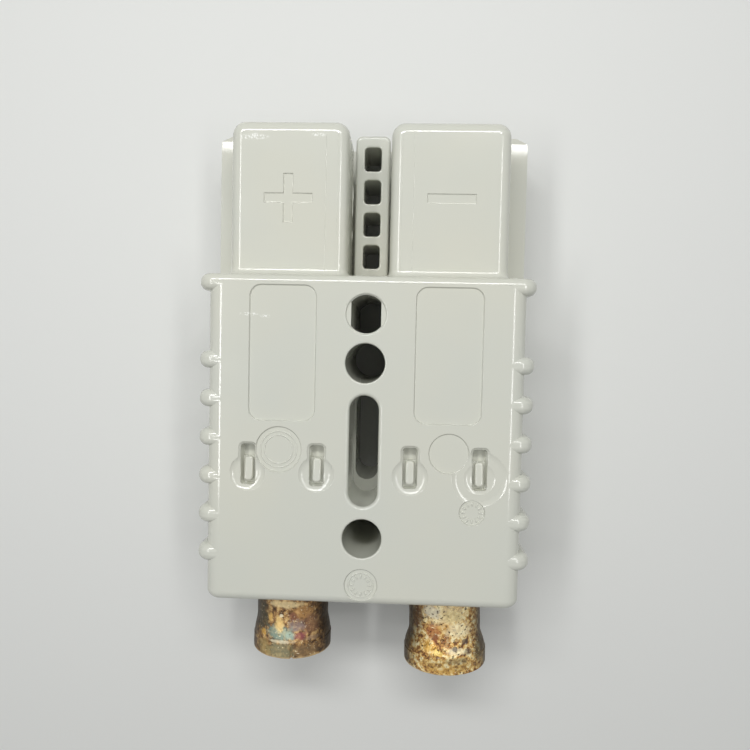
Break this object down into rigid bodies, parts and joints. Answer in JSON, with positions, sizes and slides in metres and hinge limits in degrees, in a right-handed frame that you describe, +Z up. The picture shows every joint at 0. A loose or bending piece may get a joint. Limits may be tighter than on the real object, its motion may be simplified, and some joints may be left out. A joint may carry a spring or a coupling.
{
  "type": "genderless power connector",
  "caption": "Flat ribbed plastic connector half with hooded tongues over a matching receptacle, sprung blade contacts inside and bell-mouthed crimp barrels at the rear.",
  "frame": {"origin": "midway between the two screw holes, in the plane of the underside", "axes": "+X across the connector to the negative pole, +Y along it to the mating end, +Z up to the label face"},
  "size_m": [0.0556, 0.0948, 0.0255],
  "materials": {
    "housing_plastic": "moulded polycarbonate, satin gloss",
    "contact_plating": "silver-plated copper, worn and tarnished",
    "spring_steel": "rolled stainless strip"
  },
  "bodies": {
    "root": {"housing": "housing_plastic", "contact_positive": "contact_plating", "contact_negative": "contact_plating", "spring_positive": "spring_steel", "spring_negative": "spring_steel"}
  },
  "joints": []
}
